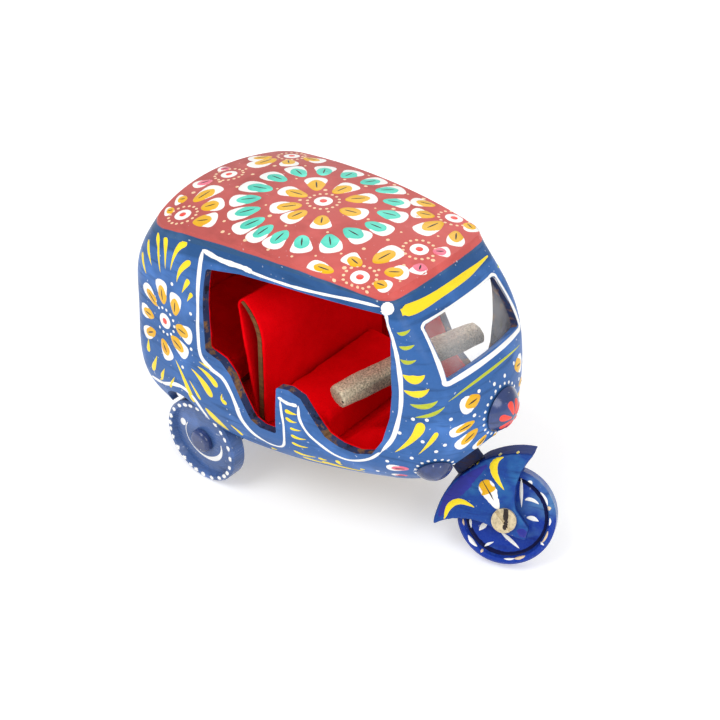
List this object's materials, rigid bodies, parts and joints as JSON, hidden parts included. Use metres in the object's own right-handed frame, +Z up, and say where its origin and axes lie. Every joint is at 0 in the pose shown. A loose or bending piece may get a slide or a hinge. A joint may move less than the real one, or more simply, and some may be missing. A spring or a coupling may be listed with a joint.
{
  "type": "toy auto rickshaw",
  "caption": "Hand-painted wooden toy auto rickshaw: hollow felt-lined cabin with open doorways, crowned roof, turned wheels and a swivelling front fork.",
  "frame": {"origin": "on the floor under the middle of the toy's length and width", "axes": "+X forward, +Y to the toy's left, +Z up"},
  "size_m": [0.1474, 0.078, 0.0975],
  "materials": {
    "bare_wood": "unpainted",
    "body_paint": "satin enamel",
    "brass_screw": "worn",
    "clear_sheet": "clear sheet",
    "gold_paint": "metallic paint",
    "lamp_paint": "gloss enamel",
    "red_felt": "napped felt",
    "roof_paint": "satin enamel",
    "steel": "plain",
    "wheel_paint": "satin enamel"
  },
  "bodies": {
    "body": {"axle_beam": "bare_wood", "axle_rod": "steel", "backrest_board": "bare_wood", "backrest_cover": "red_felt", "cap_left": "wheel_paint", "cap_right": "wheel_paint", "chin_board": "bare_wood", "driver_seat": "red_felt", "floor_board": "bare_wood", "floor_mat": "red_felt", "fork_pin": "steel", "fork_spacer": "bare_wood", "front_panel": "body_paint", "handlebar": "gold_paint", "headlamp": "lamp_paint", "lamp_left": "lamp_paint", "lamp_right": "lamp_paint", "lining_left": "red_felt", "lining_rear": "red_felt", "lining_right": "red_felt", "lining_roof": "red_felt", "passenger_seat": "red_felt", "rear_panel": "body_paint", "roof": "roof_paint", "seat_box": "bare_wood", "side_left": "body_paint", "side_right": "body_paint", "steering_post": "gold_paint", "windscreen": "clear_sheet"},
    "rear_wheel_right": {"rear_wheel_right": "wheel_paint"},
    "rear_wheel_left": {"rear_wheel_left": "wheel_paint"},
    "fork": {"fork": "wheel_paint", "front_axle": "brass_screw"},
    "front_wheel": {"front_wheel": "wheel_paint"}
  },
  "joints": [
    {"name": "rear_right_spin", "type": "hinge", "parent": "body", "child": "rear_wheel_right", "pos_m": [-0.03879, -0.0326, 0.0151], "axis": [0, 1, 0], "continuous": true},
    {"name": "rear_left_spin", "type": "hinge", "parent": "body", "child": "rear_wheel_left", "pos_m": [-0.03879, 0.0326, 0.0151], "axis": [0, 1, 0], "continuous": true},
    {"name": "fork_swivel", "type": "hinge", "parent": "body", "child": "fork", "pos_m": [0.05863, 0, 0.01511], "axis": [-0.766, 0, 0.6428], "range_deg": [-72, 4]},
    {"name": "front_spin", "type": "hinge", "parent": "fork", "child": "front_wheel", "pos_m": [0.05863, 0, 0.01511], "axis": [0.3594, -0.829, 0.4284], "continuous": true}
  ]
}
